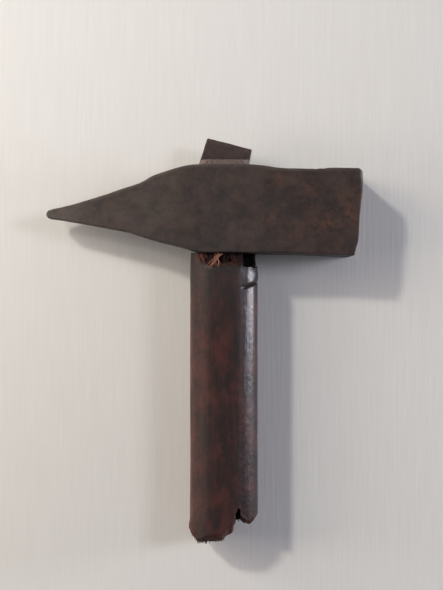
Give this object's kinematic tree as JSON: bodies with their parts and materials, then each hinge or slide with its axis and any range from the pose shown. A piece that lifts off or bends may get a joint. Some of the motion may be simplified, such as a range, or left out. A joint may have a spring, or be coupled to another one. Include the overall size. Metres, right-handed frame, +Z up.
{
  "type": "tack hammer",
  "caption": "Small cross-pein tack hammer with a flared poll, a tapered pein, a short broken round wooden handle and an iron eye wedge standing proud.",
  "frame": {"origin": "on the lower cheek of the head, below the middle of the eye", "axes": "the hammer lies on one cheek: +X along the head to the striking face, +Y along the handle from its free end to the wedge, +Z up through the thickness of the head"},
  "size_m": [0.1081, 0.1398, 0.024],
  "materials": {
    "forged_iron": "dark brown patina with rust, worn brighter on the edges",
    "wedge_iron": "dark patina, rough sheared edges",
    "handle_wood": "old dark red-brown varnish, glossy, with grime at the neck",
    "packing_fibre": "matte frayed fibre"
  },
  "bodies": {
    "root": {"hammer_head": "forged_iron", "handle": "handle_wood", "eye_wedge": "wedge_iron", "eye_packing": "packing_fibre"}
  },
  "joints": []
}
